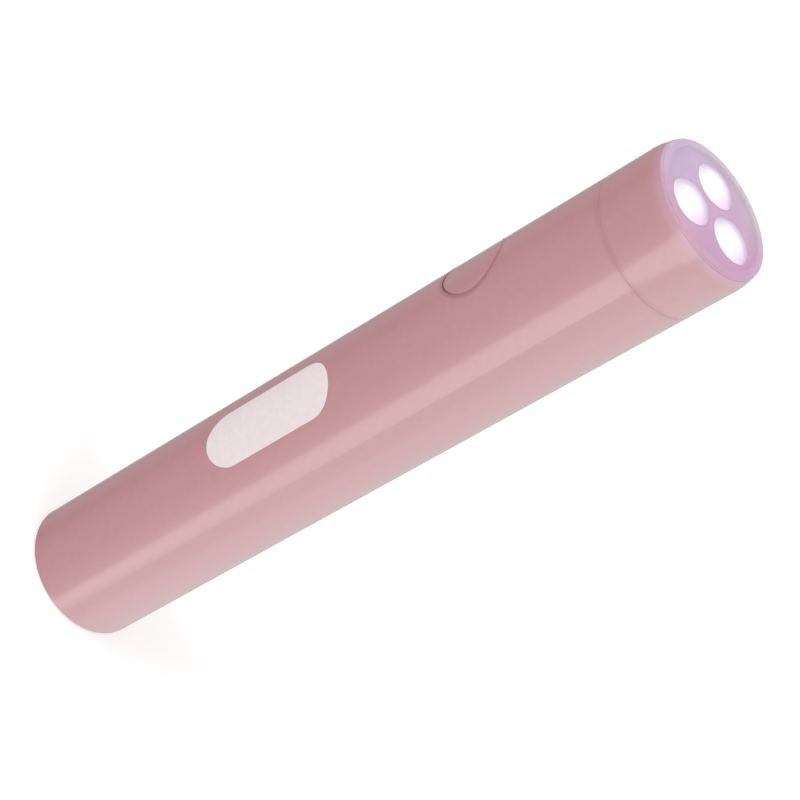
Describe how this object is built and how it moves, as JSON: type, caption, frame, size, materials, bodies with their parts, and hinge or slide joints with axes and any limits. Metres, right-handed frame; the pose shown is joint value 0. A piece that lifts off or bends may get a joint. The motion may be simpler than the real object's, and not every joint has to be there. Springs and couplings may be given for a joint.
{
  "type": "nail lamp",
  "caption": "Slim pen-shaped nail lamp with a flush push button in its side, a separate head piece and a clear crowned lens over a moulded reflector with LED cups.",
  "frame": {"origin": "middle of the flat tail face, where the lamp stands upright", "axes": "+Z along the barrel from the tail to the lens, -Y from the axis to the push button"},
  "size_m": [0.02, 0.02, 0.1165],
  "materials": {
    "pink_shell": "satin pink, soft sheen",
    "pink_button": "satin pink, same as the barrel",
    "clear_lens": "clear, faint violet",
    "pale_gasket": "matte",
    "reflector_metal": "bright vacuum metal on a moulding",
    "led_ceramic": "matte",
    "led_glow": "clear, lit violet white",
    "board_white": "white solder mask on metal",
    "aluminium": "as extruded",
    "screw_steel": "plated",
    "wire_red": "satin",
    "wire_black": "satin",
    "switch_black": "matte",
    "sheet_metal": "bright stamped sheet",
    "board_green": "solder mask",
    "chip_black": "moulded",
    "ferrite": "pressed powder",
    "capacitor_tan": "ceramic",
    "frame_white": "moulded",
    "cell_sleeve": "shrink sleeve",
    "nickel": "rolled nickel",
    "ring_white": "fibre paper",
    "foam_grey": "foam",
    "contact_gold": "gold plated"
  },
  "bodies": {
    "lamp": {"body_tube": "pink_shell", "head_bezel": "pink_shell", "front_lens": "clear_lens", "lens_gasket": "pale_gasket", "reflector": "reflector_metal", "led_base_1": "led_ceramic", "led_base_2": "led_ceramic", "led_base_3": "led_ceramic", "led_dome_1": "led_glow", "led_dome_2": "led_glow", "led_dome_3": "led_glow", "led_board": "board_white", "heat_sink": "aluminium", "led_screws": "screw_steel", "led_lead_red": "wire_red", "led_lead_black": "wire_black", "switch_base": "switch_black", "switch_cover": "sheet_metal", "switch_dome": "nickel", "switch_legs": "sheet_metal", "driver_board": "board_green", "driver_chip": "chip_black", "driver_inductor": "ferrite", "driver_capacitors": "capacitor_tan", "driver_resistors": "chip_black", "board_screws": "screw_steel", "inner_frame": "frame_white", "battery_cell": "cell_sleeve", "battery_cap": "nickel", "battery_ring": "ring_white", "tab_positive": "nickel", "tab_negative": "nickel", "foam_pad": "foam_grey", "cell_lead_red": "wire_red", "cell_lead_black": "wire_black", "charge_board": "board_green", "charge_chip": "chip_black", "charge_capacitors": "capacitor_tan", "charge_lead_red": "wire_red", "charge_lead_black": "wire_black", "usb_shell": "sheet_metal", "usb_tongue": "switch_black", "usb_contacts": "contact_gold", "tail_cap": "pink_shell"},
    "button": {"button_cap": "pink_button", "switch_plunger": "switch_black"}
  },
  "joints": [
    {"name": "button_press", "type": "slide", "parent": "lamp", "child": "button", "axis": [0, 1, 0], "range_m": [0, 0.0003], "stiffness_N_per_m": 800, "springref_m": -0.001}
  ]
}
